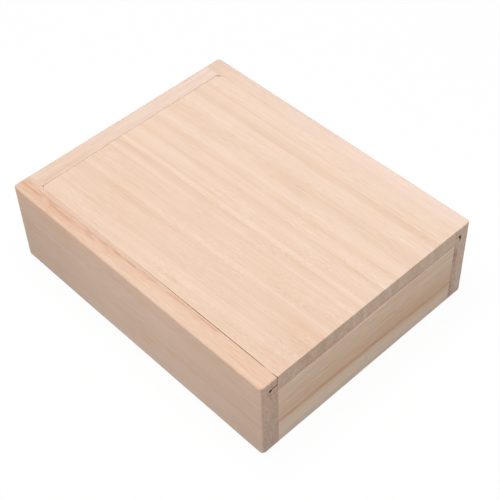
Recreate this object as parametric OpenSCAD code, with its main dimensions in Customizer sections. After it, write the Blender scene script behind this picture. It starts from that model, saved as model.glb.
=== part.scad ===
// A wooden box with a lid that slides out of its front.
// The lid is one board with a raised field. A tongue runs round its sides and its back, in grooves
// near the top of the walls. Over the low front wall it lies flush with the front of the box.
// +Z is up and the lid slides out towards -Y. The origin is the centre of the underside.

/* [Box] */
// Length of the box, front to back, along the lid's travel
box_length = 180; // [120:1:320]
// Width of the box
box_width = 143; // [90:1:240]
// Height of the box with its lid on
box_height = 51; // [36:1:120]
// Thickness of the two side walls
side_t = 10.7; // [8:0.1:14]
// Thickness of the front wall
front_t = 10.7; // [6:0.1:14]
// Thickness of the back wall
back_t = 10.8; // [8:0.1:14]

/* [Bottom board] */
// Thickness of the bottom board
bottom_t = 6; // [4:0.5:9]
// How far the bottom board lies above the edge that the box stands on
bottom_lift = 1; // [0.5:0.1:3]

/* [Lid] */
// Thickness of the lid at its raised field
lid_t = 10; // [8:0.5:14]
// Thickness of the lid's tongue
tongue_t = 4.2; // [3:0.1:5.5]
// Depth of the grooves in the walls
groove_d = 5; // [3:0.1:5.5]
// Radius of the raised field's two back corners, seen from above
field_corner_r = 2.5; // [1:0.1:5]
// Radius of the tongue's two back corners, seen from above
tongue_corner_r = 1.6; // [1.5:0.1:3]
// How far the lid's front end lies behind the front of the box
lid_setback = 0.2; // [0.1:0.1:1.5]

/* [Clearances] */
// Gap between the raised field and the walls
field_gap = 0.2; // [0.1:0.05:0.8]
// Gap between the tongue's edge and the floor of its groove
tongue_edge_gap = 0.6; // [0.3:0.1:1]
// Gap between the top of the tongue and the lip above it
tongue_top_gap = 0.9; // [0.2:0.05:1.2]
// Gap between the lid's underside and what it slides on
slide_gap = 0.1; // [0.05:0.05:0.3]

/* [Sanded edges] */
// Radius of the outer edges, round the top and the underside
outer_edge_r = 1; // [0.5:0.1:2.5]
// Radius of the four upright corners
upright_r = 2; // [0.5:0.1:3]
// Radius of the edges on both sides of the gap round the lid
seam_edge_r = 0.3; // [0.1:0.05:0.8]
// Radius of the upper edge of the tongue
tongue_edge_r = 1.2; // [0.2:0.1:1.4]
// Radius of the upper edge of the lid's front end
lid_front_r = 0.7; // [0.4:0.1:2]
// Radius of the upper front edge of the front wall
sill_r = 1.2; // [0.3:0.1:2]

/* [Hidden] */
$fn = 48;

// Cuts reach this far past the wood that they take away
past = 1;

// Inside of the four walls
room_w = box_width - 2 * side_t;
room_l = box_length - front_t - back_t;
room_front = -box_length / 2 + front_t;
room_back = box_length / 2 - back_t;

// The ledge that the lid slides on is the floor of the grooves and the top of the front wall
ledge_z = box_height - lid_t - slide_gap;
groove_h = slide_gap + tongue_t + tongue_top_gap;

// The lid's underside and front end
lid_z = box_height - lid_t;
lid_front = -box_length / 2 + lid_setback;

// Raised field of the lid
field_w = room_w - 2 * field_gap;
field_back = room_back - field_gap;

// The tongue stands out of the field on both sides and at the back
tongue_w = room_w + 2 * (groove_d - tongue_edge_gap);
tongue_back = room_back + groove_d - tongue_edge_gap;

side_wood = [0.86, 0.72, 0.58];
cross_wood = [0.82, 0.68, 0.54];
bottom_wood = [0.89, 0.77, 0.64];
lid_wood = [0.93, 0.81, 0.70];

// ---- Outlines and edges ----

// A rectangle about the origin whose corners are arcs
module round_rect(width, height, r) {
    square([width - 2 * r, height], center = true);
    square([width, height - 2 * r], center = true);
    for (x = [-1, 1], y = [-1, 1])
        translate([x * (width / 2 - r), y * (height / 2 - r)])
            circle(r);
}

// What sanding takes off an edge. The wood's corner is at the origin, with the wood at -X and -Y.
module edge_waste(r) {
    difference() {
        translate([-r, -r])
            square(r + past);
        translate([-r, -r])
            circle(r);
    }
}

// Lays an outline drawn across the box (x, z) along Y, from the first place to the second
module along_y(from_y, to_y) {
    translate([0, to_y, 0])
        rotate([90, 0, 0])
            linear_extrude(to_y - from_y)
                children();
}

// Lays an outline drawn along the box (y, z) along X, evenly about the middle
module along_x(length) {
    rotate([90, 0, 90])
        linear_extrude(length, center = true)
            children();
}

// The glued box is sanded as one block, so its round edges run on from board to board
module sanded_block() {
    intersection() {
        linear_extrude(box_height)
            round_rect(box_width, box_length, upright_r);
        translate([0, 0, box_height / 2])
            along_y(-box_length / 2, box_length / 2)
                round_rect(box_width, box_height, outer_edge_r);
        translate([0, 0, box_height / 2])
            along_x(box_width)
                round_rect(box_length, box_height, outer_edge_r);
    }
}

// ---- Walls ----

// Outline of a grooved board on edge. Its inner face is at x = 0 and the wood is at +X.
module grooved_outline(thickness) {
    difference() {
        square([thickness, box_height]);
        translate([-past, ledge_z])
            square([groove_d + past, groove_h]);
        translate([0, box_height])
            mirror([1, 0])
                edge_waste(seam_edge_r);
    }
}

// The right side wall. Its groove runs from end to end, and the lid enters it at the front.
module side_board() {
    intersection() {
        sanded_block();
        translate([room_w / 2, 0, 0])
            along_y(-box_length / 2, box_length / 2)
                grooved_outline(side_t);
    }
}

module left_side_wall() {
    color(side_wood)
        mirror([1, 0, 0])
            side_board();
}

module right_side_wall() {
    color(side_wood)
        side_board();
}

// Stands between the side walls. The lid's back end stops in its groove.
module back_wall() {
    color(cross_wood)
        intersection() {
            sanded_block();
            translate([0, room_back, 0])
                along_x(room_w)
                    grooved_outline(back_t);
        }
}

// Stands between the side walls, as high as the ledge that the lid slides on
module front_wall() {
    color(cross_wood)
        intersection() {
            sanded_block();
            translate([0, -box_length / 2, 0])
                along_x(room_w)
                    difference() {
                        square([front_t, ledge_z]);
                        translate([0, ledge_z])
                            mirror([1, 0])
                                edge_waste(sill_r);
                    }
        }
}

// Let in between the four walls, a little above the edge that the box stands on
module bottom_board() {
    color(bottom_wood)
        translate([-room_w / 2, room_front, bottom_lift])
            cube([room_w, room_l, bottom_t]);
}

// ---- Lid ----

// Outline of a board that lies flat, from one place to another, with its upper right edge rounded
module eased_outline(from, to, thickness, edge_r) {
    difference() {
        translate([from, 0])
            square([to - from, thickness]);
        translate([to, thickness])
            edge_waste(edge_r);
    }
}

// A flat board from the lid's front end to the given back end. Its two back corners are round, and
// the round of its upper edge runs along both sides and the back without a break.
module eased_board(width, back, thickness, corner_r, edge_r) {
    corner_x = width / 2 - corner_r;
    corner_y = back - corner_r;
    for (side = [0, 1])
        mirror([side, 0, 0])
            along_y(lid_front, corner_y)
                eased_outline(0, width / 2, thickness, edge_r);
    along_x(2 * corner_x)
        eased_outline(lid_front, back, thickness, edge_r);
    for (x = [-corner_x, corner_x])
        translate([x, corner_y, 0])
            rotate_extrude()
                eased_outline(0, corner_r, thickness, edge_r);
}

// The raised field fills the opening between the walls, and the tongue runs in their grooves
module lid() {
    color(lid_wood)
        difference() {
            translate([0, 0, lid_z]) {
                eased_board(field_w, field_back, lid_t, field_corner_r, seam_edge_r);
                eased_board(tongue_w, tongue_back, tongue_t, tongue_corner_r, tongue_edge_r);
            }
            translate([0, lid_front, box_height])
                along_x(box_width)
                    mirror([1, 0])
                        edge_waste(lid_front_r);
        }
}

left_side_wall();
right_side_wall();
back_wall();
front_wall();
bottom_board();
lid();
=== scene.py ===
"""A wooden box with a sliding lid: six bare boards, their wood, and a plain white studio."""

import math
from collections import namedtuple

import bmesh
import bpy
from mathutils import Matrix, Vector, noise


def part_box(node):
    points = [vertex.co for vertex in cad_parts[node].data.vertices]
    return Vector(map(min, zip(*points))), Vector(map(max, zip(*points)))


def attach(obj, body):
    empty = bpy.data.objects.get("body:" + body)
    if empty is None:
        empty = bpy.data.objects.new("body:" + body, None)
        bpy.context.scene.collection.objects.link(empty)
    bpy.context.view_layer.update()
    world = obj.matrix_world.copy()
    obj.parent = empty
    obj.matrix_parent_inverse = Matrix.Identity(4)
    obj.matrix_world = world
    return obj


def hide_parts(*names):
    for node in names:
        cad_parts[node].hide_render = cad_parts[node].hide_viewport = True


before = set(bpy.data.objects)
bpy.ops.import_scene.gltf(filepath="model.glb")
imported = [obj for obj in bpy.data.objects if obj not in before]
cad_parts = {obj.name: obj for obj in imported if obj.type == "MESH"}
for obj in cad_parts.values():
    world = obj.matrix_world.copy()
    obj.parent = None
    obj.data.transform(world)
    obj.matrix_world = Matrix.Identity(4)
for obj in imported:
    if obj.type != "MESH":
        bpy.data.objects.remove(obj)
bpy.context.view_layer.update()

# Lengths in this file are millimetres, and a board's points are scaled to metres at the end.
MM = 0.001
QUARTER = math.pi / 2
# Digits that the CAD's corners and the places of the rings are rounded to
CAD_DIGITS, RING_DIGITS = 3, 4


# ---- Sizes, from the CAD boxes and the joint between lid and walls ----

def box_mm(node):
    """Lowest and highest corner of a CAD node, in millimetres."""
    low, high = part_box(node)
    return [[round(v / MM, CAD_DIGITS) for v in corner] for corner in (low, high)]


side_low, side_high = box_mm("right_side_wall")
back_low, back_high = box_mm("back_wall")
front_low, front_high = box_mm("front_wall")
lid_low, lid_high = box_mm("lid")
bottom_low, bottom_high = box_mm("bottom_board")

HALF_WIDTH, HALF_LENGTH, HEIGHT = side_high
BACK_T = back_high[1] - back_low[1]
FRONT_T = front_high[1] - front_low[1]

# Heights of the grooves and of the lid's tongue
GROOVE_H = 5.2
TONGUE_T = 4.2
LEDGE_Z = front_high[2]
GROOVE_TOP = LEDGE_Z + GROOVE_H
TONGUE_TOP = lid_low[2] + TONGUE_T

# Inner faces of the side walls, at their lips and below the grooves. The opening that the lid's
# field fills is a little wider than the room under it.
LEFT_WIDER, RIGHT_WIDER, BELOW_WIDER = 0.5, 0.6, 0.1
ROOM_LEFT = -side_low[0] - LEFT_WIDER
ROOM_RIGHT = side_low[0] + RIGHT_WIDER
WALL_LEFT = -side_low[0] - BELOW_WIDER
WALL_RIGHT = side_low[0] + BELOW_WIDER

# The lid doesn't sit quite in the middle, and its tongue reaches further into the left wall
LEFT_GROOVE_D, RIGHT_GROOVE_D, BACK_GROOVE_D = 5.0, 3.8, 5.0
LEFT_TONGUE, RIGHT_TONGUE = 4.4, 3.2
TONGUE_LEFT = ROOM_LEFT - LEFT_TONGUE
TONGUE_RIGHT = ROOM_RIGHT + RIGHT_TONGUE

# Sanded edges of the walls and of the bottom board
OUTER_R = 1.0
UPRIGHT_R = 2.0
BACK_SEAM_R = 0.128
SILL_R = 1.2
LIP_R = 0.15
JOINT_EASE = 0.08
BOTTOM_R = 0.3

# Edges of the lid: its front end, the corners of its field, and its tongue
LID_FRONT_R = 0.5
LID_UNDER_R = 0.35
FIELD_BACK_R = 0.2
LEFT_CORNER_R, RIGHT_CORNER_R = 1.5, 3.4
TONGUE_R = 1.2
TONGUE_FRONT_R = 0.9
TONGUE_CORNER_R = 1.6
TONGUE_UNDER_R = 0.6
# Over this length the tongue's upper edges, left and right, grow rounder towards its front end
WORN_RADII, WORN_REACH = (2.4, 1.4), 12.0

# Gaps and edges beside the raised field: on the left at the back and the front, and on the right
LEFT_GAP_BACK, LEFT_GAP_FRONT, RIGHT_GAP = 0.005, 0.22, 0.01
LEFT_SEAM_R_BACK, LEFT_SEAM_R_FRONT, RIGHT_SEAM_R = 0.015, 0.35, 0.02
# The left seam opens from this place towards the front, over this length
OPENS_FROM, OPENS_OVER = 18.0, 50.0
# Near its front end it is nearly shut again: place, reach, and how far the round of the wall's
# edge and the gap beside the lid close there
PINCH_PLACE, PINCH_REACH, WALL_PINCH, LID_PINCH = -84.3, 3.6, 0.75, 0.85
PINCH_PLACES = {PINCH_PLACE + k * PINCH_REACH / 2 for k in range(-2, 3)}

# The back seam leans: by how much, about which place across the box, and how softly
BACK_LEAN, LEAN_MIDDLE, LEAN_REACH = 0.3, -27.0, 18.0
BACK_GAP_ENDS, BACK_GAP_MIDDLE = 0.10, 0.04
FIELD_BACK = back_low[1] - BACK_GAP_ENDS
# The lid bends within this length of its front end and of the back of its field, and the tongue
# behind the field runs straight again after the other length
WARP_REACH, PAST_REACH = 25.0, 2.0
# Depth of the front end's bow and of the waves on it, and their reach
FRONT_BOW, BOW_REACH = 0.03, 9.0

# Slow unevenness of hand work: its reach, its place in the noise, its shares of the radii, and a
# seed for each edge. A side wall's own seed is added to the first three.
RIPPLE_REACH, RIPPLE_DEPTH = 26.0, 0.37
EDGE_UNEVEN, SILL_UNEVEN, SEAM_UNEVEN, BACK_SEAM_UNEVEN = 0.2, 0.25, 0.3, 0.3125
TOP_SEED, FOOT_SEED, SEAM_SEED = 0, 5, 9
BACK_TOP_SEED, BACK_FOOT_SEED, BACK_SEAM_SEED = 21, 26, 23
SILL_SEED, FRONT_FOOT_SEED, LID_SEAM_SEED, LID_END_SEED = 31, 33, 41, 51

# Mesh steps: of an arc, of the round end of a board, along a board, and beside an arc
ARC_STEPS = 6
END_STEPS = 7
RING_GAP = 6.0
SUPPORT = 1.3
# Parts that an outline's side is cut into
UNCUT, SHORT_PARTS, TALL_PARTS, BOTTOM_PARTS, LID_PARTS = 1, 4, 6, 8, 16
# A length too small to see, and the angles at which a ridge is fully worn and an edge is sharp
SPECK = 0.02
RIDGE_ANGLE = math.radians(12)
SHARP_ANGLE = math.radians(34)

# What differs between the side walls: inner faces, groove, the lip's round at the back corner,
# radii of the lip's edge at the back and the front, and the foot's rise at the back
Side = namedtuple("Side", "lip wall groove_d corner_r seam_radii rise seed")
LEFT_SIDE = Side(ROOM_LEFT, WALL_LEFT, LEFT_GROOVE_D, corner_r=0.7, seam_radii=(0.015, 0.10),
                 rise=0.35, seed=2)
RIGHT_SIDE = Side(ROOM_RIGHT, WALL_RIGHT, RIGHT_GROOVE_D, corner_r=2.1, seam_radii=(0.015, 0.02),
                  rise=0.0, seed=1)
# Place along the box from which a foot rises
RISE_FROM = 35.0


# ---- Boards: outlines lofted along the grain ----

def ripple(place, seed, reach=RIPPLE_REACH):
    """Slow unevenness of hand work along a board, from -1 to 1."""
    return noise.noise(Vector((place / reach, seed, RIPPLE_DEPTH)))


def uneven(radius, share, place, seed):
    """A radius that varies along its edge by up to that share."""
    return radius * (1 + share * ripple(place, seed))


def outline(corners):
    """Closed outline through square corners of (a, z, radius, parts). Each corner is an arc, and
    the side after it is cut into that many parts, the first and last of them short."""
    points = []
    for i, (a, z, radius, parts) in enumerate(corners):
        here = Vector((a, z))
        there = Vector(corners[(i + 1) % len(corners)][:2])
        back = (Vector(corners[i - 1][:2]) - here).normalized()
        ahead = (there - here).normalized()
        centre = here + (back + ahead) * radius
        for k in range(ARC_STEPS + 1 if radius else 1):
            turn = k / ARC_STEPS * QUARTER
            points.append(centre - radius * (ahead * math.cos(turn) + back * math.sin(turn)))
        if parts > 1:
            first = here + ahead * (radius + SUPPORT)
            last = there - ahead * (corners[(i + 1) % len(corners)][2] + SUPPORT)
            points += [first.lerp(last, k / (parts - 2)) for k in range(parts - 1)]
    return points


def drop(distance, radius):
    """How far a round edge has fallen away at that distance from the end of the board."""
    inside = max(0.0, radius - distance)
    return radius - math.sqrt(max(0.0, radius ** 2 - inside ** 2))


def end_places(radius):
    """Distances from the end of a board at which a round edge needs a ring."""
    return [radius * (1 - math.sin(k / END_STEPS * QUARTER)) for k in range(END_STEPS + 1)]


def stations(low, high, low_radii, high_radii):
    """Places of the rings from one end of a board to the other."""
    inner_low, inner_high = low + max(low_radii), high - max(high_radii)
    steps = max(2, round((inner_high - inner_low) / RING_GAP))
    places = [inner_low + (inner_high - inner_low) * k / steps for k in range(steps)]
    places += [low + d for r in low_radii for d in end_places(r)]
    places += [high - d for r in high_radii for d in end_places(r)]
    return sorted({round(place, RING_DIGITS) for place in places})


def wear_of(vertex):
    """How sharp a ridge the vertex lies on, from 0 on a flat face to 1."""
    angles = [e.calc_face_angle_signed(0.0) for e in vertex.link_edges if e.is_manifold]
    return min(1.0, max([0.0, *angles]) / RIDGE_ANGLE)


def new_object(name, data):
    made = bpy.data.objects.new(name, data)
    bpy.context.scene.collection.objects.link(made)
    return made


def loft(name, rings, place, warp=None):
    """A closed board through the rings. A ring is (station, outline), and place puts its points
    in the row frame."""
    bm = bmesh.new()
    rows = []
    for station, points in rings:
        row = []
        for a, z in points:
            spot = Vector(place(station, a, z))
            row.append(bm.verts.new((spot + warp(spot) if warp else spot) * MM))
        rows.append(row)
    for one, other in zip(rows, rows[1:]):
        for i in range(len(one)):
            bm.faces.new((one[i - 1], one[i], other[i], other[i - 1]))
    caps = [bm.faces.new(rows[0]), bm.faces.new(rows[-1])]
    bmesh.ops.recalc_face_normals(bm, faces=bm.faces)
    bmesh.ops.triangulate(bm, faces=caps)
    edge = bm.verts.layers.float.new("edge")
    for vertex in bm.verts:
        vertex[edge] = wear_of(vertex)
    mesh = bpy.data.meshes.new(name)
    bm.to_mesh(mesh)
    bm.free()
    board = new_object(name, mesh)
    mesh.polygons.foreach_set("use_smooth", [True] * len(mesh.polygons))
    mesh.set_sharp_from_angle(angle=SHARP_ANGLE)
    smooth = board.modifiers.new("even_faces", "WEIGHTED_NORMAL")
    smooth.keep_sharp = True
    return board


def opening(y, back_value, front_value):
    """A value of the left seam, which opens towards the front of the lid."""
    forward = min(1.0, max(0.0, (OPENS_FROM - y) / OPENS_OVER))
    return back_value + (front_value - back_value) * forward


def pinch(y):
    """1 where the left seam is nearly shut, just behind its front end."""
    return max(0.0, 1 - abs(y - PINCH_PLACE) / PINCH_REACH)


def back_lean(x):
    """The seam behind the lid comes forward towards its left end."""
    return BACK_LEAN * math.tanh((x - LEAN_MIDDLE) / LEAN_REACH)


def lip_reach(to_back, corner_r):
    """How far the lip above the groove reaches into the room where it rounds the back corner."""
    return drop(to_back, corner_r) if to_back >= 0 else 0.0


def side_rings(side):
    """A side wall on edge: a is 0 on the inner face of its lip. The groove runs from end to end.
    Below it the wall stands further in, up to the back wall. Its foot may rise to the back."""
    thickness, stand = HALF_WIDTH - abs(side.lip), abs(side.lip) - abs(side.wall)
    corner_y = round(back_low[1] + back_lean(side.lip), RING_DIGITS)
    places = set(stations(-HALF_LENGTH, HALF_LENGTH, (UPRIGHT_R, OUTER_R), (UPRIGHT_R, OUTER_R)))
    places |= {round(corner_y - d, RING_DIGITS) for d in end_places(side.corner_r)}
    places |= {round(corner_y + SPECK, RING_DIGITS)} | PINCH_PLACES
    rings = []
    for y in sorted(places):
        to_end = HALF_LENGTH - abs(y)
        fall = drop(to_end, OUTER_R)
        outer = thickness - drop(to_end, UPRIGHT_R)
        ease = JOINT_EASE if to_end < JOINT_EASE else 0.0
        lip = ease - lip_reach(corner_y - y, side.corner_r)
        low = ease - stand if y <= corner_y else ease
        foot = fall + side.rise * max(0.0, (y - RISE_FROM) / (HALF_LENGTH - RISE_FROM))
        top_r = uneven(OUTER_R, EDGE_UNEVEN, y, side.seed + TOP_SEED)
        foot_r = uneven(OUTER_R, EDGE_UNEVEN, y, side.seed + FOOT_SEED)
        seam_r = opening(y, *side.seam_radii) * (1 - WALL_PINCH * pinch(y))
        seam_r = uneven(seam_r, SEAM_UNEVEN, y, side.seed + SEAM_SEED)
        rings.append((y, outline([
            (low, foot, LIP_R, SHORT_PARTS),
            (outer, foot, foot_r, TALL_PARTS),
            (outer, HEIGHT - fall, top_r, SHORT_PARTS),
            (lip, HEIGHT - fall, seam_r, UNCUT),
            (lip, GROOVE_TOP, LIP_R, UNCUT),
            (side.groove_d, GROOVE_TOP, 0, UNCUT),
            (side.groove_d, LEDGE_Z, 0, UNCUT),
            (low, LEDGE_Z, LIP_R, TALL_PARTS),
        ])))
    return rings


def joint_rings(low, high, section):
    """A wall between the two side walls, with a hair taken off at each joint."""
    places = stations(low, high, (JOINT_EASE,), (JOINT_EASE,))
    return [(x, section(x, drop(min(x - low, high - x), JOINT_EASE))) for x in places]


def back_section(x, ease):
    """The back wall on edge: a is 0 on its inner face, which leans a little."""
    inner = back_lean(x)
    top_r = uneven(OUTER_R, EDGE_UNEVEN, x, BACK_TOP_SEED)
    foot_r = uneven(OUTER_R, EDGE_UNEVEN, x, BACK_FOOT_SEED)
    seam_r = uneven(BACK_SEAM_R, BACK_SEAM_UNEVEN, x, BACK_SEAM_SEED)
    return outline([
        (inner, 0, LIP_R, SHORT_PARTS),
        (BACK_T - ease, 0, foot_r, TALL_PARTS),
        (BACK_T - ease, HEIGHT - ease, top_r, SHORT_PARTS),
        (inner, HEIGHT - ease, seam_r, UNCUT),
        (inner, GROOVE_TOP, LIP_R, UNCUT),
        (BACK_GROOVE_D, GROOVE_TOP, 0, UNCUT),
        (BACK_GROOVE_D, LEDGE_Z, 0, UNCUT),
        (inner, LEDGE_Z, LIP_R, TALL_PARTS),
    ])


def front_section(x, ease):
    """The front wall on edge: a is 0 on its inner face. The lid slides over its top."""
    sill_r = uneven(SILL_R, SILL_UNEVEN, x, SILL_SEED)
    foot_r = uneven(OUTER_R, EDGE_UNEVEN, x, FRONT_FOOT_SEED)
    return outline([
        (0, 0, LIP_R, SHORT_PARTS),
        (FRONT_T - ease, 0, foot_r, TALL_PARTS),
        (FRONT_T - ease, LEDGE_Z, sill_r, SHORT_PARTS),
        (0, LEDGE_Z, LIP_R, TALL_PARTS),
    ])


def bottom_rings():
    """The bottom board, let in between the walls."""
    rings = []
    for y in stations(bottom_low[1], bottom_high[1], (BOTTOM_R,), (BOTTOM_R,)):
        fall = drop(min(y - bottom_low[1], bottom_high[1] - y), BOTTOM_R)
        left, right = WALL_LEFT + fall, WALL_RIGHT - fall
        low, high = bottom_low[2] + fall, bottom_high[2] - fall
        rings.append((y, outline([
            (left, low, BOTTOM_R, BOTTOM_PARTS),
            (right, low, BOTTOM_R, UNCUT),
            (right, high, BOTTOM_R, BOTTOM_PARTS),
            (left, high, BOTTOM_R, UNCUT),
        ])))
    return rings


def lid_outline(field, narrow, low, ledge, top, field_radii, tongue_radii):
    """Outline of the lid: a raised field on a wider tongue. Places and radii that come in pairs
    are those of the left and the right."""
    tongue_left, tongue_right = TONGUE_LEFT + narrow, TONGUE_RIGHT - narrow
    return outline([
        (tongue_left, low, TONGUE_UNDER_R, LID_PARTS),
        (tongue_right, low, TONGUE_UNDER_R, UNCUT),
        (tongue_right, ledge, tongue_radii[1], UNCUT),
        (field[1], ledge, 0, UNCUT),
        (field[1], top, field_radii[1], LID_PARTS),
        (field[0], top, field_radii[0], UNCUT),
        (field[0], ledge, 0, UNCUT),
        (tongue_left, ledge, tongue_radii[0], UNCUT),
    ])


def field_rings():
    """The lid from its front end to the back of its raised field."""
    rings = []
    back_radii = (LEFT_CORNER_R, RIGHT_CORNER_R, FIELD_BACK_R)
    places = set(stations(lid_low[1], FIELD_BACK, (LID_FRONT_R, LID_UNDER_R), back_radii))
    for y in sorted(places | PINCH_PLACES):
        from_front, from_back = y - lid_low[1], FIELD_BACK - y
        fall = drop(from_front, LID_FRONT_R) + drop(from_back, FIELD_BACK_R)
        narrow = drop(from_front, LID_UNDER_R)
        shut = 1 - LID_PINCH * pinch(y)
        left = ROOM_LEFT + opening(y, LEFT_GAP_BACK, LEFT_GAP_FRONT) * shut + narrow
        right = ROOM_RIGHT - RIGHT_GAP - narrow
        left_r = uneven(opening(y, LEFT_SEAM_R_BACK, LEFT_SEAM_R_FRONT) * shut, SEAM_UNEVEN,
                        y, LID_SEAM_SEED)
        worn = max(0.0, 1 - from_front / WORN_REACH)
        rings.append((y, lid_outline(
            (left + drop(from_back, LEFT_CORNER_R), right - drop(from_back, RIGHT_CORNER_R)),
            narrow, lid_low[2] + narrow, TONGUE_TOP - drop(from_front, TONGUE_FRONT_R),
            HEIGHT - fall, (left_r, RIGHT_SEAM_R),
            [TONGUE_R + (r - TONGUE_R) * worn for r in WORN_RADII])))
    return rings


def tongue_rings():
    """The back end of the tongue. The outline's points of the field lie flat on it here."""
    rings = []
    field = (ROOM_LEFT + LEFT_CORNER_R, ROOM_RIGHT - RIGHT_CORNER_R)
    for y in stations(FIELD_BACK, lid_high[1], (SPECK,), (TONGUE_CORNER_R, TONGUE_R))[1:]:
        from_back = lid_high[1] - y
        top = TONGUE_TOP - drop(from_back, TONGUE_R)
        narrow = drop(from_back, TONGUE_CORNER_R)
        rings.append((y, lid_outline(field, narrow, lid_low[2], top, top + SPECK / 2,
                                     (SPECK / 8, SPECK / 8), (TONGUE_R, TONGUE_R))))
    return rings


def lid_warp(spot):
    """The sawn front end stands back a little more at its middle. The back end swells there and
    follows the lean of the back wall."""
    near = max(0.0, 1 - (spot.y - lid_low[1]) / WARP_REACH)
    middle = math.cos(spot.x / HALF_WIDTH * QUARTER)
    bow = FRONT_BOW * middle + FRONT_BOW * ripple(spot.x, LID_END_SEED, BOW_REACH)
    swell = (BACK_GAP_ENDS - BACK_GAP_MIDDLE) * middle + back_lean(spot.x)
    far = min(1.0, max(0.0, 1 - (FIELD_BACK - spot.y) / WARP_REACH))
    past = max(0.0, 1 - max(0.0, spot.y - FIELD_BACK) / PAST_REACH)
    return Vector((0, max(0.0, bow) * near ** 2 + swell * far * past, 0))


def right_place(y, a, z):
    return ROOM_RIGHT + a, y, z


def left_place(y, a, z):
    return ROOM_LEFT - a, y, z


def back_place(x, a, z):
    return x, back_low[1] + a, z


def front_place(x, a, z):
    return x, front_high[1] - a, z


def flat_place(y, x, z):
    return x, y, z


# ---- Shader formulas ----

# Stops of (place, tone) make the bands of the wood. A tone of 0 gives the value 0.5, which leaves
# the wood as it is, -20 gives 0 and 20 gives 1. So a list of stops can also make a mask.
NEUTRAL = 0.5
TONE_SPAN = 40.0
# Where a blot's edge starts and ends, in squares of its half sizes
BLOT_EDGE = (0.5, 1.6)

# A noise: the sizes of its grains along, across and into the board, its detail and its seed
Grain = namedtuple("Grain", "sizes detail seed")


def new_material(name):
    material = bpy.data.materials.new(name)
    material.use_nodes = True
    return material


class Graph:
    """The nodes of one material or of the world, written as formulas."""

    def __init__(self, tree):
        self.tree = tree
        self.tree.nodes.clear()

    def add(self, kind, inputs, **settings):
        """A node with those inputs, each a number or another node's socket."""
        node = self.tree.nodes.new("ShaderNode" + kind)
        for key, value in settings.items():
            setattr(node, key, value)
        for key, value in inputs.items():
            if isinstance(value, bpy.types.NodeSocket):
                self.tree.links.new(value, node.inputs[key])
            else:
                node.inputs[key].default_value = value
        return node

    def math(self, operation, a, b=0.0, c=0.0):
        return self.add("Math", {0: a, 1: b, 2: c}, operation=operation).outputs[0]

    def both(self, *masks):
        """The product of the masks, which is 0 where one of them is."""
        product = masks[0]
        for mask in masks[1:]:
            product = self.math("MULTIPLY", product, mask)
        return product

    def either(self, *masks):
        """The strongest of the masks."""
        strongest = masks[0]
        for mask in masks[1:]:
            strongest = self.math("MAXIMUM", strongest, mask)
        return strongest

    def weigh(self, start, *terms):
        """start plus each socket times its weight."""
        for socket, weight in terms:
            start = self.math("MULTIPLY_ADD", socket, weight, start)
        return start

    def position(self):
        """The point's place on its board in millimetres, as three numbers."""
        coords = self.add("TexCoord", {}).outputs["Object"]
        scaled = self.add("VectorMath", {0: coords, "Scale": 1 / MM}, operation="SCALE")
        return self.add("SeparateXYZ", {0: scaled.outputs[0]}).outputs

    def noise(self, place, grain, seed=0.0, coarse=1.0):
        """Noise from 0 to 1 at a place of (along, across, deep). coarse widens its grains."""
        along, across, deep = grain.sizes
        parts = [self.math("MULTIPLY_ADD", v, 1 / size, seed + grain.seed)
                 for v, size in zip(place, (along, across * coarse, deep))]
        vector = self.add("CombineXYZ", {0: parts[0], 1: parts[1], 2: parts[2]}).outputs[0]
        texture = self.add("TexNoise", {"Vector": vector, "Scale": 1.0, "Detail": grain.detail})
        return texture.outputs[0]

    def range(self, value, low, high, to_low, to_high):
        """Smooth step of a value from one number to another, held outside them."""
        node = self.add("MapRange", {0: value, 1: low, 2: high, 3: to_low, 4: to_high},
                        interpolation_type="SMOOTHSTEP")
        return node.outputs[0]

    def rise(self, value, low, high, least=0.0):
        """A mask that grows to 1 between two numbers."""
        return self.range(value, low, high, least, 1.0)

    def fall(self, value, low, high, least=0.0):
        """A mask that shrinks from 1 between two numbers."""
        return self.range(value, low, high, 1.0, least)

    def window(self, value, low, high, soft):
        """1 between two numbers, falling to 0 a little outside them."""
        return self.both(self.rise(value, low - soft, low), self.fall(value, high, high + soft))

    def blot(self, a, b, middle, half_sizes):
        """1 in an oval, and 0 a little outside it."""
        squares = []
        for value, centre, half in zip((a, b), middle, half_sizes):
            off = self.math("MULTIPLY_ADD", value, 1 / half, -centre / half)
            squares.append(self.math("MULTIPLY", off, off))
        return self.fall(self.math("ADD", *squares), *BLOT_EDGE)

    def bands(self, value, stops):
        """Tone against place, from stops of (place, tone)."""
        first, last = stops[0][0], stops[-1][0]
        place = self.math("MULTIPLY_ADD", value, 1 / (last - first), -first / (last - first))
        node = self.add("ValToRGB", {0: place})
        ramp = node.color_ramp
        ramp.interpolation = "EASE"
        while len(ramp.elements) < len(stops):
            ramp.elements.new(0.5)
        for element, (spot, tone) in zip(ramp.elements, stops):
            element.position = (spot - first) / (last - first)
        for element, (spot, tone) in zip(ramp.elements, stops):
            element.color = (NEUTRAL + tone / TONE_SPAN,) * 3 + (1,)
        return node.outputs[0]

    def mix(self, factor, a, b, kind="MIX"):
        node = self.add("Mix", {0: factor, 6: a, 7: b}, data_type="RGBA", blend_type=kind)
        return node.outputs[2]

    def stain(self, colour, stains):
        """A colour times each stain in turn, where its mask says so."""
        for mask, stain in stains:
            colour = self.mix(mask, colour, (*stain, 1), "MULTIPLY")
        return colour


def tint(base, factors):
    """A colour times three factors, opaque."""
    return tuple(v * f for v, f in zip(base, factors)) + (1,)


# ---- Wood that all the boards share ----

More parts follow.
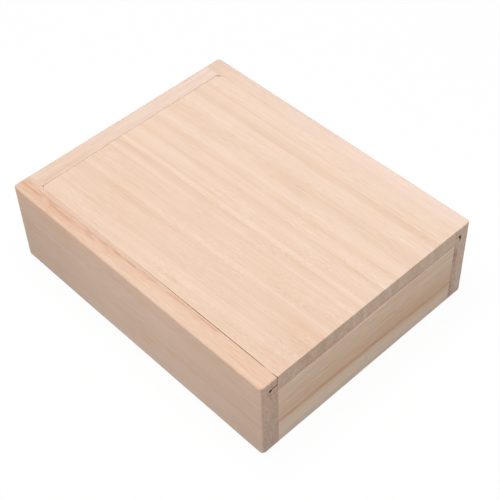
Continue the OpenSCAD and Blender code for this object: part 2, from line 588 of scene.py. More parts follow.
WANDER = Grain((70, 22, 30), 1.0, 3)
FADE = Grain((55, 9, 20), 1.0, 61)
LINES = Grain((150, 0.85, 2.6), 2.0, 0)
FIBRES = Grain((26, 0.7, 1.3), 3.0, 7)
DASHES = Grain((6, 0.55, 0.8), 2.0, 11)
PATCHES = Grain((30, 11, 11), 1.0, 17)
MOTTLE = Grain((30, 13, 12), 3.0, 23)
PORES = Grain((5, 0.22, 0.5), 1.0, 31)
WARMTH = Grain((45, 16, 16), 2.0, 37)
GRIT = Grain((0.7, 0.7, 0.7), 2.0, 41)
PITS = Grain((0.23, 0.23, 0.23), 1.0, 47)
RUBBING = Grain((9, 3, 3), 2.0, 53)

# Stretches of these noises over which they take hold, a third number being the least hold, and
# the strength of the bands at their strongest
FADE_SPAN, STRONGEST = (0.3, 0.7), 1.2
PATCH_SPAN = (0.42, 0.62, 0.25)
PORE_SPAN = (0.66, 0.76)
PIT_SPAN = (0.6, 0.72)
WARM_SPAN = RUB_SPAN = (0.35, 0.65)
# How squarely a face has to look along the grain to show end grain, and how worn an edge shows
END_SPAN, WORN_SPAN = (0.62, 0.9), (0.1, 0.9)

# Shares of the parts in the tone along the board and on its ends
LINE_SHARE, FIBRE_SHARE, MOTTLE_SHARE, DASH_SHARE, PORE_SHARE = 0.28, 0.32, 0.26, 0.5, -0.10
END_START, END_TONE, END_LINES = -1.31, 1.2, 1.3
END_GRIT, END_MOTTLE, END_PITS = 0.9, 0.3, -0.3

# Factors on a board's own colour
DARKEST, PALEST = (0.88, 0.78, 0.69), (1.12, 1.22, 1.31)
END_DARKEST, END_PALEST = (0.86, 0.78, 0.72), (1.14, 1.22, 1.28)
WARM, WARM_SHARE = (1.01, 0.975, 0.95), 0.5
RUBBED, RUB_SHARE = (1.06, 1.04, 1.02), 0.22

# Relief of the surface, in shares of the bump's depth, and its gloss
FIBRE_RELIEF, DASH_RELIEF, PORE_RELIEF, GRIT_RELIEF, PIT_RELIEF = 0.35, 0.5, -0.5, 0.8, -0.8
BUMP_STRENGTH, BUMP_DEPTH = 0.35, 0.12 * MM
ROUGHNESS, DASH_DULL, FIBRE_DULL, END_DULL, WORN_DULL = 0.66, 0.12, 0.08, 0.12, -0.06
GLOSS = 0.3

# A board's wood. grain is the axis that it runs along. figure makes (tone from 0 to 1, place across
# the grain) from (graph, x, y, z, wander), and stains makes (mask, colour) pairs that the wood is
# multiplied by in turn. contrast and coarse are those of the fine lines, and faint is the strength
# of the bands where they are faintest.
Wood = namedtuple("Wood", "name grain figure stains colour end_colour contrast coarse seed faint",
                  defaults=(0.55,))
Parts = namedtuple("Parts", "lines fibres dashes mottle pores grit pits")


def wood_parts(g, kind, place, spot):
    """The fine figure: lines, fibres, dashes in patches, mottling and pores, and the grit and
    open pores of the ends."""
    lines, fibres, dashes = (g.noise(place, grain, kind.seed, kind.coarse)
                             for grain in (LINES, FIBRES, DASHES))
    patches = g.rise(g.noise(place, PATCHES, kind.seed), *PATCH_SPAN)
    return Parts(
        lines, fibres, g.both(g.math("SUBTRACT", dashes, NEUTRAL), patches),
        g.noise(place, MOTTLE, kind.seed),
        g.rise(g.noise(place, PORES, kind.seed), *PORE_SPAN),
        g.noise(spot, GRIT, kind.seed),
        g.rise(g.noise(spot, PITS, kind.seed), *PIT_SPAN),
    )


def board_colour(g, kind, place, tone, parts):
    """The colour of the wood along the grain."""
    line_share, fibre_share = LINE_SHARE * kind.contrast, FIBRE_SHARE * kind.contrast
    total = g.weigh(-NEUTRAL * (line_share + fibre_share + MOTTLE_SHARE), (tone, 1.0),
                    (parts.lines, line_share), (parts.fibres, fibre_share),
                    (parts.mottle, MOTTLE_SHARE), (parts.dashes, DASH_SHARE * kind.contrast),
                    (parts.pores, PORE_SHARE * kind.contrast))
    colour = g.mix(total, tint(kind.colour, DARKEST), tint(kind.colour, PALEST))
    warmth = g.rise(g.noise(place, WARMTH, kind.seed), *WARM_SPAN)
    return g.mix(g.both(warmth, WARM_SHARE), colour, (*WARM, 1), "MULTIPLY")


def end_colour(g, kind, tone, parts):
    """The colour of the end grain: the same bands, darker, and open pores."""
    total = g.weigh(END_START, (tone, END_TONE), (parts.lines, END_LINES), (parts.grit, END_GRIT),
                    (parts.mottle, END_MOTTLE), (parts.pits, END_PITS))
    return g.mix(total, tint(kind.end_colour, END_DARKEST), tint(kind.end_colour, END_PALEST))


def wood(kind):
    """The material of one board of bare wood."""
    material = new_material(kind.name)
    g = Graph(material.node_tree)
    x, y, z = g.position()
    along, beside, deep = (x, z, y) if kind.grain == "x" else (y, x, z)
    wander = g.noise((along, beside, deep), WANDER, kind.seed)
    tone, across = kind.figure(g, x, y, z, wander)
    place = (along, across, deep)

    # The bands come and go along the board
    fade = g.noise(place, FADE, kind.seed)
    strength = g.range(fade, *FADE_SPAN, kind.faint, STRONGEST)
    tone = g.math("MULTIPLY_ADD", g.math("SUBTRACT", tone, NEUTRAL), strength, NEUTRAL)
    parts = wood_parts(g, kind, place, (x, y, z))
    stains = kind.stains(g, x, y, z, wander, parts.fibres) if kind.stains else []

    normal = g.add("SeparateXYZ", {0: g.add("TexCoord", {}).outputs["Normal"]}).outputs
    facing = g.math("ABSOLUTE", normal["XYZ".index(kind.grain.upper())])
    ends = g.rise(facing, *END_SPAN)
    colour = g.mix(ends, g.stain(board_colour(g, kind, place, tone, parts), stains),
                   g.stain(end_colour(g, kind, tone, parts), stains))

    # Handled edges, paler where they are rubbed
    edge = g.add("Attribute", {}, attribute_name="edge").outputs["Fac"]
    rub = g.noise(place, RUBBING, kind.seed)
    worn = g.both(g.rise(edge, *WORN_SPAN), g.rise(rub, *RUB_SPAN))
    colour = g.mix(g.both(worn, RUB_SHARE), colour, tint(kind.colour, RUBBED))

    # Relief: fibres, dashes and pores along the board, grit and pits on the ends
    height = g.weigh(0.0, (parts.fibres, FIBRE_RELIEF), (parts.dashes, DASH_RELIEF),
                     (parts.pores, PORE_RELIEF))
    end_height = g.weigh(0.0, (parts.grit, GRIT_RELIEF), (parts.pits, PIT_RELIEF))
    relief = g.weigh(height, (g.both(ends, end_height), 1.0))
    bump = g.add("Bump", {"Height": relief, "Strength": BUMP_STRENGTH, "Distance": BUMP_DEPTH})
    dull = g.weigh(ROUGHNESS, (parts.dashes, DASH_DULL), (parts.fibres, FIBRE_DULL),
                   (ends, END_DULL), (worn, WORN_DULL))
    shader = g.add("BsdfPrincipled", {
        "Base Color": colour, "Roughness": dull, "Normal": bump.outputs[0],
        "Specular IOR Level": GLOSS,
    })
    g.add("OutputMaterial", {"Surface": shader.outputs[0]})
    return material


# ---- Stains that several boards share ----

# From here on a place is (from, to) or (from, to, least) for a mask that rises or falls, and
# (from, to, softness) for a window. The wood is multiplied by the colours.
FRONT_END_Y = (-89.0, -88.6)
HEART_BROWN = (0.80, 0.60, 0.49)

# Painted bluish light from the floor on the foot of the walls, and fainter on the stretch over it
FOOT_FLOOR_LIGHT = (0.97, 1.05, 1.11)
FOOT_Z = (2.5, 8)
OVER_FOOT_Z, OVER_FOOT_Y, OVER_FOOT = (8, 18), (-40, 0), 0.5

# Painted brown shade in the left and the back seam: where it lies along and across them, and how deep
SEAM_SHADE = (0.64, 0.44, 0.31)
SEAM_OPEN_Y = (0, 20)
SEAM_PINCHED_Y = (PINCH_PLACE - 1.5, PINCH_PLACE + 1.5, 2.0)
LEFT_SEAM_X = (ROOM_LEFT - 0.10, ROOM_LEFT + 0.5, 0.05)
BACK_SEAM_X = (ROOM_LEFT, ROOM_RIGHT, 0.3)
BACK_SEAM_Y = (back_low[1] - 0.7, back_low[1] + 0.7, 0.1)
SEAM_LOW_Z, SEAM_HIGH_Z = (HEIGHT - 1.6, HEIGHT - 0.6), (HEIGHT - 0.12, HEIGHT - 0.02)

# Painted shade beside the field, over the tongue's edges and over its left shoulder, how strong it is
# in each place, and how far back it lies
GROOVE_MOUTH_SHADE = (0.06, 0.045, 0.035)
GROOVE_LEFT, GROOVE_RIGHT = ROOM_LEFT - LEFT_GROOVE_D, ROOM_RIGHT + RIGHT_GROOVE_D
LEFT_SHADE_X = (ROOM_LEFT - 0.02, ROOM_LEFT + 0.40, 0.04)
RIGHT_SHADE_X = (ROOM_RIGHT - 0.08, ROOM_RIGHT + 0.02, 0.04)
BESIDE_Z = (HEIGHT - 0.5, HEIGHT - 0.2)
LEFT_EDGE_X = (GROOVE_LEFT - 0.1, GROOVE_LEFT + 1.7, 0.4)
RIGHT_EDGE_X = (GROOVE_RIGHT - 0.9, GROOVE_RIGHT + 0.1, 0.2)
EDGE_Z = (43.4, GROOVE_TOP + 0.05, 0.4)
SHOULDER_X = (GROOVE_LEFT + 1.0, ROOM_LEFT + 0.4, 0.1)
SHOULDER_Z = (TONGUE_TOP - 0.35, GROOVE_TOP + 0.05, 0.15)
RIGHT_SHADE, BESIDE_SHADE, SHOULDER_SHADE = 0.7, 0.95, 0.9
MOUTH_Y = (lid_low[1] + 0.12, lid_low[1] + 3.12, 0.06)
# A dark blot of painted shade for a chip at the right end of the tongue: its middle and its half
# sizes
CHIP_PLACE, CHIP_SIZE = (64.75, 43.1), (0.8, 0.55)


def at_end(g, y):
    """1 on the front ends of the boards."""
    return g.fall(y, *FRONT_END_Y)


def foot(g, y, z):
    """Painted bluish light from the floor on the lowest millimetres of the walls, and towards the
    front more faintly on the stretch over them."""
    over = g.both(g.range(z, *OVER_FOOT_Z, OVER_FOOT, 0.0), g.fall(y, *OVER_FOOT_Y))
    return g.either(g.fall(z, *FOOT_Z), over), FOOT_FLOOR_LIGHT


def seam_shade(g, x, y, z):
    """Painted brown shade a little way down in the left and the back seam."""
    open_part = g.math("SUBTRACT", g.fall(y, *SEAM_OPEN_Y), g.window(y, *SEAM_PINCHED_Y))
    left = g.both(g.window(x, *LEFT_SEAM_X), open_part)
    behind = g.both(g.window(y, *BACK_SEAM_Y), g.window(x, *BACK_SEAM_X))
    deep = g.both(g.rise(z, *SEAM_LOW_Z), g.fall(z, *SEAM_HIGH_Z))
    return g.both(g.either(left, behind), deep), SEAM_SHADE


def groove_mouth_shade(g, x, y, z):
    """Painted shade in the first millimetres of the two grooves and of the seams above them, and a
    dark blot of painted shade for a chip.
    """
    beside = g.either(g.window(x, *LEFT_SHADE_X), g.both(g.window(x, *RIGHT_SHADE_X), RIGHT_SHADE))
    beside = g.both(beside, g.range(z, *BESIDE_Z, BESIDE_SHADE, 0.0))
    over_edge = g.both(g.either(g.window(x, *LEFT_EDGE_X), g.window(x, *RIGHT_EDGE_X)),
                       g.window(z, *EDGE_Z))
    shoulder = g.both(g.window(x, *SHOULDER_X), g.window(z, *SHOULDER_Z), SHOULDER_SHADE)
    mouth = g.both(g.window(y, *MOUTH_Y), g.either(beside, over_edge, shoulder))
    chip_shade = g.both(g.blot(x, z, CHIP_PLACE, CHIP_SIZE), at_end(g, y))
    return g.either(mouth, chip_shade), GROOVE_MOUTH_SHADE


# ---- The lid's wood ----

# Growth bands at the lid's mid-length, from left to right
LID_BANDS = [
    (-64, 0), (-57.5, -1.5), (-53.8, 3.5), (-46, -3), (-39.5, 2.3), (-34.2, -3.6), (-29.4, 4.4),
    (-26.8, -1.5), (-22.8, 1.2), (-20, -1.8), (-18, 0.8), (-15.9, -3), (-13.9, 6), (-11.5, -0.6),
    (-9, -5), (-6.2, 6), (-3.6, -3.6), (-1.8, 1.2), (2.7, 3.2), (6, -4), (10.7, 3.6), (14.8, -3.8),
    (20.6, 5.4), (26, -2.6), (31, -3), (37.5, 2.4), (42, 2.2), (45, -7.5), (50.6, 1.8), (53, -2.6),
    (56.3, 2), (64, 0.5),
]
# The lid's broad change from left to right
LID_BREADTH = [
    (-62, -2), (-50, -3), (-38, -5.3), (-20, -3), (0, -0.3), (35, -0.3), (50, 2), (62, 2.2),
]
# How the bands lie, lean, spread and wander, and how the lid grows paler to the right and the back
LID_OFFSET, LID_LEAN, LID_SPREAD, LID_WANDER = -0.7, 0.0225, -0.0001, 1.4
LID_TO_RIGHT, LID_TO_BACK = 0.0004, 0.0002
FRONT_LEFT_X, FRONT_LEFT_Y, FRONT_LEFT_TONE = (-45, 0), (-80, -40), -0.065
FLECKS, FLECK_SHARE = Grain((2.4, 0.55, 1.0), 1.0, 97), 0.9
FLECK_PATCHES, FLECK_SPAN = Grain((16, 7, 9), 1.0, 101), (0.42, 0.6)
FLECKS_Y, FLECKS_X = (-60, 45, 0.25), (5, 30, 0.3)

# Painted shade low on the front end where it meets the front wall, and a lighter stretch at its upper
# right
LID_JOINT_SHADE, LID_EDGE_Z, LID_EDGE_X = (0.94, 0.94, 0.94), (42.4, 43.8), (20, 45, 0.4)
LID_LIGHT, LID_LIGHT_Z, LID_LIGHT_X = (1.04, 1.02, 1.0), (44.5, 48.0), (5, 35)


def lid_figure(g, x, y, z, wander):
    """Bands run the length of the lid and lean to the right towards its front. It is browner on
    its left, most of all at the front, with more flecks there."""
    lean = g.weigh(LID_LEAN, (x, LID_SPREAD))
    across = g.weigh(LID_OFFSET, (x, 1.0), (g.both(lean, y), 1.0), (wander, LID_WANDER))
    front_left = g.both(g.fall(x, *FRONT_LEFT_X), g.fall(y, *FRONT_LEFT_Y))
    patchy = g.rise(g.noise((y, x, z), FLECK_PATCHES), *FLECK_SPAN)
    lively = g.both(g.fall(y, *FLECKS_Y), g.fall(x, *FLECKS_X), patchy)
    flecks = g.math("SUBTRACT", g.noise((y, across, z), FLECKS), NEUTRAL)
    tone = g.weigh(-NEUTRAL, (g.bands(across, LID_BANDS), 1.0), (g.bands(x, LID_BREADTH), 1.0),
                   (x, LID_TO_RIGHT), (y, LID_TO_BACK), (front_left, FRONT_LEFT_TONE),
                   (g.both(flecks, lively), FLECK_SHARE))
    return tone, across


def lid_stains(g, x, y, z, wander, fibres):
    """The front end has painted shade where it meets the front wall, and is lighter at its upper
    right. Painted shade darkens the mouths of the grooves."""
    joint_shade = g.both(g.fall(z, *LID_EDGE_Z), g.fall(x, *LID_EDGE_X))
    high_right = g.both(g.rise(z, *LID_LIGHT_Z), g.rise(x, *LID_LIGHT_X))
    return [(g.both(joint_shade, at_end(g, y)), LID_JOINT_SHADE),
            (g.both(high_right, at_end(g, y)), LID_LIGHT),
            seam_shade(g, x, y, z), groove_mouth_shade(g, x, y, z)]


# ---- The side walls' wood ----

SIDE_OFFSET, SIDE_WANDER, LEFT_TILT, RIGHT_TILT = -0.6, 1.2, 0.12, 0.1

# Place of the brown line on the left wall, from the front of the box to its back
LEFT_LINE = [(-92, 10.2), (-45, 9.3), (-15, 8.8), (15, 7.8), (42, 6.2), (66, 5.9), (92, 6.1)]
# Tone of the left wall beside that line and along the box
LEFT_RINGS = [
    (-18, -2), (-12, 1), (-8, 1), (-6, -1), (-2, -3), (-0.8, -3), (1.2, -3), (4, -3.5), (8, -2),
    (14, 0),
]
LEFT_LENGTH = [(-92, -5), (-60, -2), (-40, 0), (-10, 0.5), (30, 0), (60, -4), (92, -6)]
PALE_TONE, PALE_Y, PALE_X = 0.10, (-64, -46), (-66, -63.5)

# The line itself: a thin one towards the front, and two broader ones towards the back
LINE_OFFSET, LINE_RAGGED = -1.4, 1.6
THIN_LINE = [(-3, -20), (-1.4, -18), (-0.5, -6), (0.0, 19), (0.5, -2), (1.1, -18), (3, -20)]
BROAD_LINES = [
    (-4, -20), (-2.6, -14), (-1.6, -2), (-0.8, 9), (0.0, -2), (0.7, 7), (1.4, -4), (2.2, -17),
    (4, -20),
]
TO_BROAD_Y, THIN_Y = (12, 42), (-64, -44, 0.15)
BREAKS, BREAKS_SPAN, BREAKS_HOLD = Grain((7, 0.9, 8), 2.0, 71), (0.40, 0.60), (0.25, 1.1)
LEFT_BROWN = (0.80, 0.64, 0.555)

# Painted shade of the wall by height and of its outer face by length, and the other marks of the left
# wall
LEFT_WALL_SHADE, INNER_DULL = (0.92, 0.945, 0.96), (0.96, 0.95, 0.93)
SHADE_HEIGHT = [(0, 12), (10, 14), (22, 10), (38, -14), (46, -20), (52, -20)]
SHADE_LENGTH = [
    (-90, 2), (-65, -10), (-40, -20), (-20, -20), (0, -8), (30, -3), (60, 8), (90, 20),
]
OUTER_Z, INNER_END_X, INNER_END_Y = (32, 50), (-66.3, -65.2), (-89.7, -89.5)
# Painted highlight of light from the floor, low on the wall, fading out towards its back
RIM_HIGHLIGHT, RIM_Y = (1.07, 1.08, 1.09), (20, 45)
RIM_HEIGHT = [(0, -20), (1.4, -4), (2.7, 20), (4.0, -12), (5.5, -20), (8, -20)]
BESIDE_LID, BESIDE_LID_X, BESIDE_LID_Y = (0.945, 0.935, 0.95), (-64.2, -63.2), (-30, 0)
FAR_END_PALE, FAR_END_X, FAR_END_Y = (1.03, 1.08, 1.11), (-65.3, -64.6), (68, 80)
FAR_SIDE_PALE, FAR_SIDE_X, FAR_SIDE_Y = (1.015, 1.03, 1.06), (-64.6, -63.6), (46, 66, 8)
BROWNER, BROWNER_Y, BROWNER_X = (0.955, 0.915, 0.89), (4, 20, 12), (-68.6, -65.4, 0.7)
END_LIGHT, END_LIGHT_PLACE, END_LIGHT_SIZE = (1.07, 1.05, 1.04), (-67.2, 33), (2.6, 9)

RIGHT_RINGS = [(54, -2), (58, -1), (62, -1.5), (66, 0), (69, 1), (72, 1)]
RIGHT_LENGTH = [(-92, 3), (-30, 2.5), (0, -0.5), (20, -2.5), (60, -4), (78, -9), (92, -13)]
HEART_RED = (0.72, 0.55, 0.50)
RED_LINE = [(59, -20), (61.0, -6), (62.0, 14), (63.2, 2), (65.7, -15), (69, -20)]
RED_OFFSET, RED_RAGGED, RED_TILT, RED_Z = -1.2, 1.2, 0.015, (36, 42)
MARK, MARK_PLACE, MARK_SIZE = (0.78, 0.72, 0.67), (62.3, 33), (1.5, 4.2)
BACK_END_BROWN, BACK_END_Y = (0.965, 0.975, 1.0), (77, 84)


def side_across(g, x, z, wander, tilt):
    """Place across the rings of a side wall, which lean a little in it."""
    return g.weigh(SIDE_OFFSET - tilt * HEIGHT, (x, 1.0), (z, tilt), (wander, SIDE_WANDER))


def from_left_line(g, across, y):
    """Distance from the brown line on the left wall towards the lid. The line's own place is
    given from the wall's outer face."""
    line = g.math("MULTIPLY_ADD", g.bands(y, LEFT_LINE), -TONE_SPAN, NEUTRAL * TONE_SPAN)
    return g.weigh(HALF_WIDTH, (across, 1.0), (line, 1.0))


def left_figure(g, x, y, z, wander):
    """The left wall is browner round its line and towards its ends, and paler beside the front
    of the lid."""
    across = side_across(g, x, z, wander, LEFT_TILT)
    rings = g.bands(from_left_line(g, across, y), LEFT_RINGS)
    pale = g.both(g.fall(y, *PALE_Y), g.rise(x, *PALE_X))
    return g.weigh(-NEUTRAL, (rings, 1.0), (g.bands(y, LEFT_LENGTH), 1.0), (pale, PALE_TONE)), across


def left_lines(g, x, y, z, wander, fibres):
    """Thin brown lines that break up and wander."""
    across = g.weigh(LINE_OFFSET, (x, 1.0), (wander, SIDE_WANDER), (fibres, LINE_RAGGED))
    off_line = from_left_line(g, across, y)
    to_broad = g.rise(y, *TO_BROAD_Y)
    thin = g.both(g.bands(off_line, THIN_LINE), g.rise(y, *THIN_Y),
                  g.math("SUBTRACT", 1.0, to_broad))
    broad = g.both(g.bands(off_line, BROAD_LINES), to_broad)
    broken = g.range(g.noise((y, x, z), BREAKS), *BREAKS_SPAN, *BREAKS_HOLD)
    return g.both(g.math("ADD", thin, broad), broken), LEFT_BROWN


def left_stains(g, x, y, z, wander, fibres):
    """The outer face is darker than the top by painted shade, most of all low down and towards its
    ends, and has a painted highlight of light from the floor just above its foot. The back half of
    the top is browner beside the lid, and paler in places."""
    # Painted shade on the outer face, darker towards its ends
    outer = g.both(g.bands(y, SHADE_LENGTH), g.fall(z, *OUTER_Z))
    inner_end = g.both(g.rise(x, *INNER_END_X), g.fall(y, *INNER_END_Y))
    rim_highlight = g.both(g.bands(z, RIM_HEIGHT), g.fall(y, *RIM_Y))
    beside_lid = g.both(g.rise(x, *BESIDE_LID_X), g.rise(y, *BESIDE_LID_Y))
    far_end = g.both(g.rise(x, *FAR_END_X), g.rise(y, *FAR_END_Y))
    far_side = g.both(g.rise(x, *FAR_SIDE_X), g.window(y, *FAR_SIDE_Y))
    browner = g.both(g.window(y, *BROWNER_Y), g.window(x, *BROWNER_X))
    light = g.both(g.blot(x, z, END_LIGHT_PLACE, END_LIGHT_SIZE), at_end(g, y))
    return [left_lines(g, x, y, z, wander, fibres), (g.bands(z, SHADE_HEIGHT), LEFT_WALL_SHADE),
            foot(g, y, z), (beside_lid, BESIDE_LID), (far_end, FAR_END_PALE),
            (far_side, FAR_SIDE_PALE), (browner, BROWNER), (light, END_LIGHT), (outer, LEFT_WALL_SHADE),
            (inner_end, INNER_DULL), (rim_highlight, RIM_HIGHLIGHT), seam_shade(g, x, y, z), groove_mouth_shade(g, x, y, z)]


def right_figure(g, x, y, z, wander):
    """The right wall is browner towards its back."""
    across = side_across(g, x, z, wander, RIGHT_TILT)
    rings, length = g.bands(across, RIGHT_RINGS), g.bands(y, RIGHT_LENGTH)
    return g.weigh(-NEUTRAL, (rings, 1.0), (length, 1.0)), across


def right_stains(g, x, y, z, wander, fibres):
    """A reddish line beside the room, below the groove, with a darker mark on its front end."""
    across = g.weigh(RED_OFFSET, (x, 1.0), (wander, SIDE_WANDER), (fibres, RED_RAGGED),
                     (z, RED_TILT))
    line = g.both(g.bands(across, RED_LINE), g.fall(z, *RED_Z))
    mark = g.both(g.blot(x, z, MARK_PLACE, MARK_SIZE), at_end(g, y))
    return [(line, HEART_RED), foot(g, y, z), (mark, MARK),
            (g.rise(y, *BACK_END_Y), BACK_END_BROWN), groove_mouth_shade(g, x, y, z)]


# ---- The wood of the front wall, the back wall and the bottom ----

FRONT_OFFSET, FRONT_SLOPE, FRONT_WANDER = -1.2, 0.026, 1.6
FRONT_RIPPLES, RIPPLE_SHARE = Grain((12, 8, 8), 2.0, 83), 0.8
FRONT_BANDS = [
    (-4, 0), (5, 1), (9.5, 0), (13, -4), (14.9, -15), (16.2, -10), (17.6, -6), (19.5, -5),
    (23, -5), (28, -1.5), (32, 0.5), (45, 1),
]
STREAK_OFFSET, STREAK_RAGGED, STREAK_X = -0.4, 0.8, (-5, 25, 0.6)
STREAK = [
    (9, -20), (12.5, -17), (14.3, -6), (15.1, 12), (16.2, 4), (17.8, -12), (26, -17), (32, -20),
]
STREAK_PATCHES, STREAK_SPAN = Grain((18, 1.5, 6), 2.0, 89), (0.3, 0.65, 0.35)
ZONE_BROWN = (0.905, 0.83, 0.755)
ZONE_HEIGHT = [(8, -20), (12, 0), (16, 8), (24, 6), (29, -8), (34, -20)]
ZONE_BREADTH = [(-62, -16), (-35, -14), (-25, -4), (-5, 2), (12, 18), (62, 20)]
FRONT_WARM, FRONT_WARM_Z = (0.98, 0.983, 0.962), (13, 19)
# Painted highlight on the front wall's rounded upper edge, strongest at its middle
SILL_HIGHLIGHT, SILL_Z = (1.32, 1.31, 1.30), (39.0, 40.3)
SILL_BREADTH = [(-62, -10), (-30, -6), (0, 20), (30, -4), (62, -8)]

BACK_OFFSET, BACK_SLOPE, BACK_WANDER = -0.8, -0.02, 1.6
BACK_BANDS = [(-4, 0), (8, 2), (14, -2), (22, 1), (27, -3), (33, 2), (41, -2), (52, 0)]
BACK_BREADTH = [(-62, -5), (-45, -4), (-20, 0.5), (20, 1.5), (62, 4)]
BACK_LINE = [(79.6, -20), (80.8, -17), (81.5, 0), (82.4, -17), (84, -20)]
BACK_LINE_X, BACK_LINE_SHARE, BACK_LINE_WANDER = (-38, -28), 0.6, 0.8

BOTTOM_OFFSET, BOTTOM_SLOPE, BOTTOM_WANDER = -1.5, 0.015, 3.0
BOTTOM_BANDS = [
    (-64, 0), (-48, 3), (-37, -3), (-20, 4), (-11, -3), (4, 2), (15, -4), (31, 3), (42, -2),
    (64, 0),
]


def front_across(g, x, z, wander):
    """Place across the front wall's grain, which runs a little downhill to the right."""
    ripples = g.noise((x, z, z), FRONT_RIPPLES)
    return g.weigh(FRONT_OFFSET, (z, 1.0), (x, FRONT_SLOPE), (wander, FRONT_WANDER),
                   (ripples, RIPPLE_SHARE))


def front_figure(g, x, y, z, wander):
    """A brown streak a third of the way up, and a soft brown zone above it."""
    across = front_across(g, x, z, wander)
    return g.bands(across, FRONT_BANDS), across


def front_stains(g, x, y, z, wander, fibres):
    """The streak, a brown zone that spreads above it towards the right, and a painted highlight on
    the upper edge, strongest at its middle."""
    across = g.weigh(STREAK_OFFSET, (front_across(g, x, z, wander), 1.0), (fibres, STREAK_RAGGED))
    patchy = g.rise(g.noise((x, z, y), STREAK_PATCHES), *STREAK_SPAN)
    streak = g.both(g.bands(across, STREAK), patchy, g.fall(x, *STREAK_X))
    zone = g.both(g.bands(across, ZONE_HEIGHT), g.bands(x, ZONE_BREADTH))
    sill_highlight = g.both(g.rise(z, *SILL_Z), g.bands(x, SILL_BREADTH))
    return [(streak, HEART_BROWN), (g.rise(z, *FRONT_WARM_Z), FRONT_WARM), foot(g, y, z),
            (zone, ZONE_BROWN), (sill_highlight, SILL_HIGHLIGHT)]


def back_figure(g, x, y, z, wander):
    """The back wall is paler towards its right."""
    across = g.weigh(BACK_OFFSET, (z, 1.0), (x, BACK_SLOPE), (wander, BACK_WANDER))
    tone, breadth = g.bands(across, BACK_BANDS), g.bands(x, BACK_BREADTH)
    return g.weigh(-NEUTRAL, (tone, 1.0), (breadth, 1.0)), across


def back_stains(g, x, y, z, wander, fibres):
    """A faint brown line beside the seam, on the left."""
    line = g.bands(g.weigh(0.0, (y, 1.0), (wander, BACK_LINE_WANDER)), BACK_LINE)
    on_left = g.range(x, *BACK_LINE_X, BACK_LINE_SHARE, 0.0)
    return [(g.both(line, on_left), HEART_BROWN), seam_shade(g, x, y, z)]


def bottom_figure(g, x, y, z, wander):
    """Broad even bands along the board."""
    across = g.weigh(BOTTOM_OFFSET, (x, 1.0), (y, BOTTOM_SLOPE), (wander, BOTTOM_WANDER))
    return g.bands(across, BOTTOM_BANDS), across


# ---- The six boards ----

# End grain of the boards whose ends are hidden, and of the lid
OTHER_ENDS = (0.632, 0.472, 0.362)

RIGHT_WOOD = Wood("side_wood_right", "y", right_figure, right_stains, (0.825, 0.635, 0.523),
                  (0.590, 0.435, 0.350), contrast=1.2, coarse=1.0, seed=5.0)
LEFT_WOOD = Wood("side_wood_left", "y", left_figure, left_stains, (0.780, 0.553, 0.420),
                 (0.595, 0.420, 0.322), contrast=1.5, coarse=1.2, seed=15.0)
BACK_WOOD = Wood("end_wood_back", "x", back_figure, back_stains, (0.784, 0.600, 0.488),
                 OTHER_ENDS, contrast=1.6, coarse=1.2, seed=25.0)
FRONT_WOOD = Wood("end_wood_front", "x", front_figure, front_stains, (0.735, 0.556, 0.424),
                  OTHER_ENDS, contrast=2.2, coarse=1.5, seed=35.0)
BOTTOM_WOOD = Wood("base_wood", "y", bottom_figure, None, (0.800, 0.620, 0.490),
                   OTHER_ENDS, contrast=1.2, coarse=1.0, seed=45.0)
LID_WOOD = Wood("lid_wood", "y", lid_figure, lid_stains, (0.803, 0.604, 0.475),
                OTHER_ENDS, contrast=1.4, coarse=1.0, seed=55.0, faint=0.7)

BOARDS = [
    # node, slot, body, wood, rings, place, warp
    ("right_side_wall", "side_board", "box", RIGHT_WOOD, side_rings(RIGHT_SIDE), right_place, None),
    ("left_side_wall", "side_board", "box", LEFT_WOOD, side_rings(LEFT_SIDE), left_place, None),
    ("back_wall", "end_board", "box", BACK_WOOD, joint_rings(ROOM_LEFT, ROOM_RIGHT, back_section),
     back_place, None),
    ("front_wall", "end_board", "box", FRONT_WOOD,
     joint_rings(WALL_LEFT, WALL_RIGHT, front_section), front_place, None),
    ("bottom_board", "base_board", "box", BOTTOM_WOOD, bottom_rings(), flat_place, None),
    ("lid", "lid_board", "lid", LID_WOOD, field_rings() + tongue_rings(), flat_place, lid_warp),
]

for node, slot, body, kind, rings, place, warp in BOARDS:
    board = loft(node + "_wood", rings, place, warp)
    board.data.materials.append(wood(kind))
    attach(board, body)
    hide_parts(node)


# ---- Studio, in metres ----

FLOOR_SIZE = 8.0
FLOOR_DROP = -0.0002
FLOOR_GLOW = 0.94
AMBIENT = 0.30
WHITE = (1, 1, 1, 1)
PAPER_WHITE = (0.9, 0.9, 0.9, 1)
LAMP_PLACE, LAMP_SIZE, LAMP_POWER = (-0.12, 0.0, 1.25), 0.9, 13.6


def seen_rays(g):
    """1 for rays that look at the studio, straight or by gloss or glass, and 0 for its light."""
    rays = g.add("LightPath", {}).outputs
    return g.either(rays["Is Camera Ray"], rays["Is Glossy Ray"], rays["Is Transmission Ray"])


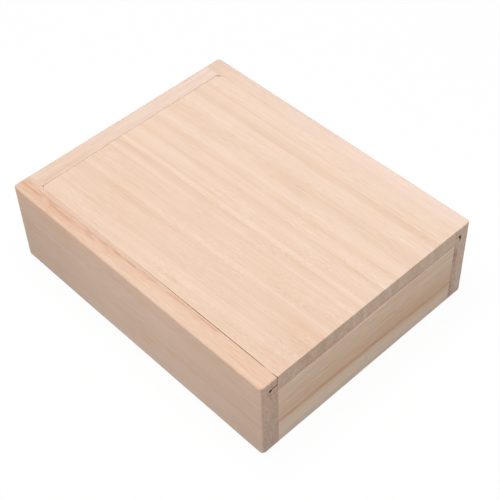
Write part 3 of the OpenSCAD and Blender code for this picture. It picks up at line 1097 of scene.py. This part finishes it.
def paper_floor():
    """Paper under the box. It looks nearly plain white and keeps a little of the shadow."""
    material = new_material("studio_floor")
    g = Graph(material.node_tree)
    paper = g.add("BsdfDiffuse", {"Color": PAPER_WHITE})
    glow = g.add("Emission", {"Color": WHITE, "Strength": 1.0})
    share = g.both(seen_rays(g), FLOOR_GLOW)
    surface = g.add("MixShader", {0: share, 1: paper.outputs[0], 2: glow.outputs[0]})
    g.add("OutputMaterial", {"Surface": surface.outputs[0]})
    bpy.ops.mesh.primitive_plane_add(size=FLOOR_SIZE, location=(0, 0, FLOOR_DROP))
    floor = bpy.context.object
    floor.name = "studio_floor"
    floor.data.materials.append(material)


def white_world():
    """White all round, and a softer light than it looks."""
    world = bpy.data.worlds.new("studio")
    world.use_nodes = True
    bpy.context.scene.world = world
    g = Graph(world.node_tree)
    strength = g.math("MULTIPLY_ADD", seen_rays(g), 1.0 - AMBIENT, AMBIENT)
    backdrop = g.add("Background", {"Color": WHITE, "Strength": strength})
    g.add("OutputWorld", {"Surface": backdrop.outputs[0]})


def lamp(name, place, size, power):
    """A soft square lamp that faces the middle of the box."""
    light = bpy.data.lights.new(name, "AREA")
    light.size = size
    light.energy = power
    holder = new_object(name, light)
    holder.location = place
    holder.rotation_euler = Vector(place).to_track_quat("Z", "Y").to_euler()


paper_floor()
white_world()
lamp("overhead_lamp", LAMP_PLACE, LAMP_SIZE, LAMP_POWER)


# ---- Camera, at the photograph's viewing angle, in metres ----

CAMERA_PLACE = Vector((-0.27444, -0.30957, 0.47110))
CAMERA_LOOK = Vector((0.45267, 0.49712, -0.74024))
CAMERA_ROLL = math.radians(-2.2154)
CAMERA_LENS = 85.35
CAMERA_NEAR = 0.01


def turned(look, roll):
    """The turn of a camera that looks that way and rolls about its line of sight."""
    level_right = look.cross(Vector((0, 0, 1))).normalized()
    level_up = level_right.cross(look)
    right = math.cos(roll) * level_right + math.sin(roll) * level_up
    return Matrix((right, right.cross(look), -look)).transposed().to_4x4()


lens = bpy.data.cameras.new("photo_camera")
lens.lens = CAMERA_LENS
lens.clip_start = CAMERA_NEAR
camera = new_object("photo_camera", lens)
camera.matrix_world = Matrix.Translation(CAMERA_PLACE) @ turned(CAMERA_LOOK.normalized(), CAMERA_ROLL)
bpy.context.scene.camera = camera

bpy.context.scene.view_settings.view_transform = "Standard"
